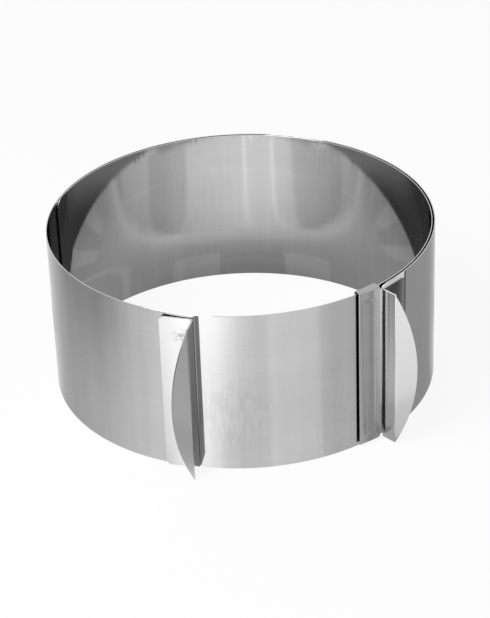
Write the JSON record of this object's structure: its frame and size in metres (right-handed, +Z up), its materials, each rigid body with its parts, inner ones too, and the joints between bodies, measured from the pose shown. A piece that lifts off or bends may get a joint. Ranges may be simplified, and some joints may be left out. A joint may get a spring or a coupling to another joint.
{
  "type": "adjustable cake ring",
  "caption": "Round stainless steel cake frame of springy strip that overlaps itself, opened or closed by half-moon grips and guided by a clip.",
  "frame": {"origin": "middle of the bounding box, at the edge the ring stands on", "axes": "+Z up; -Y towards the side between the two grips"},
  "size_m": [0.1942, 0.208, 0.086],
  "materials": {
    "band_steel": "polished, fine grain along the strip",
    "grip_steel": "satin, pressed sheet"
  },
  "bodies": {
    "grip_band": {"grip_band": "band_steel", "left_grip": "grip_steel"},
    "outer_band_01": {"outer_band_01": "band_steel"},
    "outer_band_02": {"outer_band_02": "band_steel"},
    "outer_band_03": {"outer_band_03": "band_steel"},
    "outer_band_04": {"outer_band_04": "band_steel"},
    "outer_band_05": {"outer_band_05": "band_steel"},
    "outer_band_06": {"outer_band_06": "band_steel"},
    "outer_band_07": {"outer_band_07": "band_steel"},
    "outer_band_08": {"outer_band_08": "band_steel"},
    "outer_band_09": {"outer_band_09": "band_steel"},
    "outer_band_10": {"outer_band_10": "band_steel"},
    "outer_band_11": {"outer_band_11": "band_steel"},
    "outer_band_12": {"outer_band_12": "band_steel"},
    "outer_band_13": {"outer_band_13": "band_steel"},
    "outer_band_14": {"outer_band_14": "band_steel"},
    "outer_band_15": {"outer_band_15": "band_steel"},
    "outer_band_16": {"outer_band_16": "band_steel"},
    "outer_band_17": {"outer_band_17": "band_steel", "right_grip": "grip_steel", "guide_clip": "grip_steel"},
    "inner_band_01": {"inner_band_01": "band_steel"},
    "inner_band_02": {"inner_band_02": "band_steel"},
    "inner_band_03": {"inner_band_03": "band_steel"},
    "inner_band_04": {"inner_band_04": "band_steel"},
    "inner_band_05": {"inner_band_05": "band_steel"},
    "inner_band_06": {"inner_band_06": "band_steel"},
    "inner_band_07": {"inner_band_07": "band_steel"},
    "inner_band_08": {"inner_band_08": "band_steel"},
    "inner_band_09": {"inner_band_09": "band_steel"},
    "inner_band_10": {"inner_band_10": "band_steel"},
    "inner_band_11": {"inner_band_11": "band_steel"},
    "inner_band_12": {"inner_band_12": "band_steel"},
    "inner_band_13": {"inner_band_13": "band_steel"},
    "inner_band_14": {"inner_band_14": "band_steel"},
    "inner_band_15": {"inner_band_15": "band_steel"}
  },
  "joints": [
    {"name": "opening", "type": "hinge", "parent": "grip_band", "child": "outer_band_01", "pos_m": [-0.04596, -0.0778, 0], "axis": [0, 0, 1], "range_deg": [-2.31, 6.29]},
    {"name": "outer_bend_02", "type": "hinge", "parent": "outer_band_01", "child": "outer_band_02", "pos_m": [-0.06905, -0.06054, 0], "axis": [0, 0, 1], "range_deg": [-2.32, 6.22]},
    {"name": "outer_bend_03", "type": "hinge", "parent": "outer_band_02", "child": "outer_band_03", "pos_m": [-0.086, -0.03721, 0], "axis": [0, 0, 1], "range_deg": [-2.31, 6.21]},
    {"name": "outer_bend_04", "type": "hinge", "parent": "outer_band_03", "child": "outer_band_04", "pos_m": [-0.0953, -0.00992, 0], "axis": [0, 0, 1], "range_deg": [-2.31, 6.2]},
    {"name": "outer_bend_05", "type": "hinge", "parent": "outer_band_04", "child": "outer_band_05", "pos_m": [-0.09611, 0.0189, 0], "axis": [0, 0, 1], "range_deg": [-2.31, 6.2]},
    {"name": "outer_bend_06", "type": "hinge", "parent": "outer_band_05", "child": "outer_band_06", "pos_m": [-0.08837, 0.04667, 0], "axis": [0, 0, 1], "range_deg": [-2.31, 6.19]},
    {"name": "outer_bend_07", "type": "hinge", "parent": "outer_band_06", "child": "outer_band_07", "pos_m": [-0.07278, 0.07093, 0], "axis": [0, 0, 1], "range_deg": [-2.3, 6.18]},
    {"name": "outer_bend_08", "type": "hinge", "parent": "outer_band_07", "child": "outer_band_08", "pos_m": [-0.05072, 0.0895, 0], "axis": [0, 0, 1], "range_deg": [-2.3, 6.17]},
    {"name": "outer_bend_09", "type": "hinge", "parent": "outer_band_08", "child": "outer_band_09", "pos_m": [-0.02417, 0.10075, 0], "axis": [0, 0, 1], "range_deg": [-2.3, 6.17]},
    {"name": "outer_bend_10", "type": "hinge", "parent": "outer_band_09", "child": "outer_band_10", "pos_m": [0.00451, 0.10367, 0], "axis": [0, 0, 1], "range_deg": [-2.29, 6.16]},
    {"name": "outer_bend_11", "type": "hinge", "parent": "outer_band_10", "child": "outer_band_11", "pos_m": [0.03278, 0.09802, 0], "axis": [0, 0, 1], "range_deg": [-2.29, 6.15]},
    {"name": "outer_bend_12", "type": "hinge", "parent": "outer_band_11", "child": "outer_band_12", "pos_m": [0.05814, 0.0843, 0], "axis": [0, 0, 1], "range_deg": [-2.29, 6.15]},
    {"name": "outer_bend_13", "type": "hinge", "parent": "outer_band_12", "child": "outer_band_13", "pos_m": [0.07835, 0.06373, 0], "axis": [0, 0, 1], "range_deg": [-2.29, 6.14]},
    {"name": "outer_bend_14", "type": "hinge", "parent": "outer_band_13", "child": "outer_band_14", "pos_m": [0.09161, 0.03813, 0], "axis": [0, 0, 1], "range_deg": [-2.28, 6.13]},
    {"name": "outer_bend_15", "type": "hinge", "parent": "outer_band_14", "child": "outer_band_15", "pos_m": [0.09677, 0.00976, 0], "axis": [0, 0, 1], "range_deg": [-2.28, 6.12]},
    {"name": "outer_bend_16", "type": "hinge", "parent": "outer_band_15", "child": "outer_band_16", "pos_m": [0.09338, -0.01887, 0], "axis": [0, 0, 1], "range_deg": [-2.28, 6.12]},
    {"name": "outer_bend_17", "type": "hinge", "parent": "outer_band_16", "child": "outer_band_17", "pos_m": [0.08174, -0.04525, 0], "axis": [0, 0, 1], "range_deg": [-2.28, 6.11]},
    {"name": "inner_bend_01", "type": "hinge", "parent": "grip_band", "child": "inner_band_01", "pos_m": [-0.01775, -0.08764, 0], "axis": [0, 0, 1], "range_deg": [-6.42, 2.39]},
    {"name": "inner_bend_02", "type": "hinge", "parent": "inner_band_01", "child": "inner_band_02", "pos_m": [0.01171, -0.0884, 0], "axis": [0, 0, 1], "range_deg": [-6.38, 2.38]},
    {"name": "inner_bend_03", "type": "hinge", "parent": "inner_band_02", "child": "inner_band_03", "pos_m": [0.04002, -0.08021, 0], "axis": [0, 0, 1], "range_deg": [-6.39, 2.38]},
    {"name": "inner_bend_04", "type": "hinge", "parent": "inner_band_03", "child": "inner_band_04", "pos_m": [0.06451, -0.06381, 0], "axis": [0, 0, 1], "range_deg": [-6.39, 2.38]},
    {"name": "inner_bend_05", "type": "hinge", "parent": "inner_band_04", "child": "inner_band_05", "pos_m": [0.08287, -0.04076, 0], "axis": [0, 0, 1], "range_deg": [-6.4, 2.38]},
    {"name": "inner_bend_06", "type": "hinge", "parent": "inner_band_05", "child": "inner_band_06", "pos_m": [0.09337, -0.01323, 0], "axis": [0, 0, 1], "range_deg": [-6.41, 2.39]},
    {"name": "inner_bend_07", "type": "hinge", "parent": "inner_band_06", "child": "inner_band_07", "pos_m": [0.09501, 0.01619, 0], "axis": [0, 0, 1], "range_deg": [-6.42, 2.39]},
    {"name": "inner_bend_08", "type": "hinge", "parent": "inner_band_07", "child": "inner_band_08", "pos_m": [0.08762, 0.04472, 0], "axis": [0, 0, 1], "range_deg": [-6.43, 2.39]},
    {"name": "inner_bend_09", "type": "hinge", "parent": "inner_band_08", "child": "inner_band_09", "pos_m": [0.07191, 0.06965, 0], "axis": [0, 0, 1], "range_deg": [-6.43, 2.39]},
    {"name": "inner_bend_10", "type": "hinge", "parent": "inner_band_09", "child": "inner_band_10", "pos_m": [0.04936, 0.08862, 0], "axis": [0, 0, 1], "range_deg": [-6.44, 2.4]},
    {"name": "inner_bend_11", "type": "hinge", "parent": "inner_band_10", "child": "inner_band_11", "pos_m": [0.0221, 0.09981, 0], "axis": [0, 0, 1], "range_deg": [-6.45, 2.4]},
    {"name": "inner_bend_12", "type": "hinge", "parent": "inner_band_11", "child": "inner_band_12", "pos_m": [-0.00728, 0.10216, 0], "axis": [0, 0, 1], "range_deg": [-6.46, 2.4]},
    {"name": "inner_bend_13", "type": "hinge", "parent": "inner_band_12", "child": "inner_band_13", "pos_m": [-0.03597, 0.09545, 0], "axis": [0, 0, 1], "range_deg": [-6.46, 2.41]},
    {"name": "inner_bend_14", "type": "hinge", "parent": "inner_band_13", "child": "inner_band_14", "pos_m": [-0.06124, 0.08029, 0], "axis": [0, 0, 1], "range_deg": [-6.47, 2.41]},
    {"name": "inner_bend_15", "type": "hinge", "parent": "inner_band_14", "child": "inner_band_15", "pos_m": [-0.08068, 0.05814, 0], "axis": [0, 0, 1], "range_deg": [-6.48, 2.41]}
  ],
  "couplings": [
    {"joint": "outer_bend_02", "follows": "opening", "ratio": 0.98086},
    {"joint": "outer_bend_03", "follows": "opening", "ratio": 0.97969},
    {"joint": "outer_bend_04", "follows": "opening", "ratio": 0.97853},
    {"joint": "outer_bend_05", "follows": "opening", "ratio": 0.97736},
    {"joint": "outer_bend_06", "follows": "opening", "ratio": 0.9762},
    {"joint": "outer_bend_07", "follows": "opening", "ratio": 0.97503},
    {"joint": "outer_bend_08", "follows": "opening", "ratio": 0.97386},
    {"joint": "outer_bend_09", "follows": "opening", "ratio": 0.97269},
    {"joint": "outer_bend_10", "follows": "opening", "ratio": 0.97153},
    {"joint": "outer_bend_11", "follows": "opening", "ratio": 0.97036},
    {"joint": "outer_bend_12", "follows": "opening", "ratio": 0.9692},
    {"joint": "outer_bend_13", "follows": "opening", "ratio": 0.96803},
    {"joint": "outer_bend_14", "follows": "opening", "ratio": 0.96686},
    {"joint": "outer_bend_15", "follows": "opening", "ratio": 0.9657},
    {"joint": "outer_bend_16", "follows": "opening", "ratio": 0.96453},
    {"joint": "outer_bend_17", "follows": "opening", "ratio": 0.96336},
    {"joint": "inner_bend_01", "follows": "opening", "ratio": -1.0122},
    {"joint": "inner_bend_02", "follows": "opening", "ratio": -1.0064},
    {"joint": "inner_bend_03", "follows": "opening", "ratio": -1.0076},
    {"joint": "inner_bend_04", "follows": "opening", "ratio": -1.0088},
    {"joint": "inner_bend_05", "follows": "opening", "ratio": -1.01},
    {"joint": "inner_bend_06", "follows": "opening", "ratio": -1.0112},
    {"joint": "inner_bend_07", "follows": "opening", "ratio": -1.0125},
    {"joint": "inner_bend_08", "follows": "opening", "ratio": -1.0137},
    {"joint": "inner_bend_09", "follows": "opening", "ratio": -1.0149},
    {"joint": "inner_bend_10", "follows": "opening", "ratio": -1.0161},
    {"joint": "inner_bend_11", "follows": "opening", "ratio": -1.0173},
    {"joint": "inner_bend_12", "follows": "opening", "ratio": -1.0186},
    {"joint": "inner_bend_13", "follows": "opening", "ratio": -1.0198},
    {"joint": "inner_bend_14", "follows": "opening", "ratio": -1.021},
    {"joint": "inner_bend_15", "follows": "opening", "ratio": -1.0222}
  ]
}
